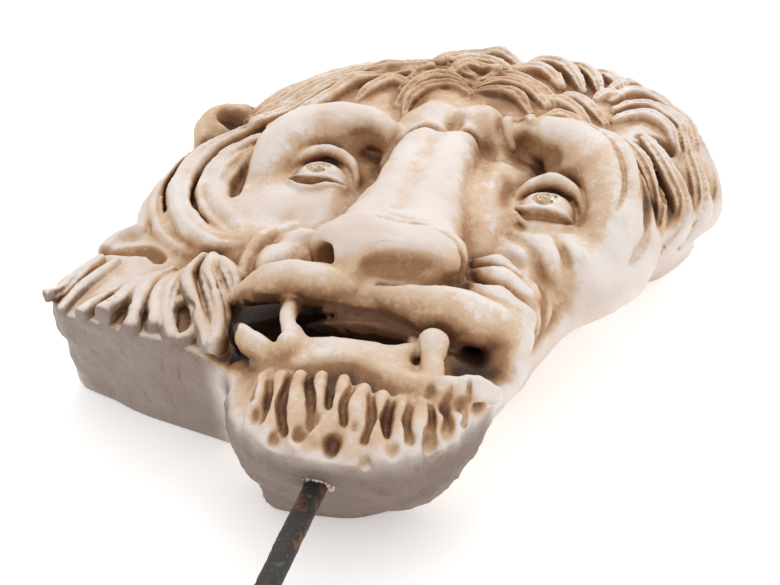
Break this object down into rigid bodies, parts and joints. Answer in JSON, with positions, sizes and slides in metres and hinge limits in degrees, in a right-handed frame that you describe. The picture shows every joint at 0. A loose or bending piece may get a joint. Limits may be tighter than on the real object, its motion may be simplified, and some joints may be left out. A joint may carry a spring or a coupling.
{
  "type": "lion mask relief",
  "caption": "Carved lion mask in high relief on a flat back, mouth open, beard drilled, broken at the lower side, with a round rod set in the chin.",
  "frame": {"origin": "centre of the flat back, on the plane that the mask lies on", "axes": "+X to the right across the face, +Y up the face from the chin to the crown, +Z out of the face"},
  "size_m": [0.2915, 0.4992, 0.1089],
  "materials": {
    "marble": "weathered white marble with a warm tan patina in the recesses, honed on the high places",
    "iron": "corroded, mottled dark grey, rust red and green"
  },
  "bodies": {
    "root": {"lion_mask": "marble", "rod": "iron"}
  },
  "joints": []
}
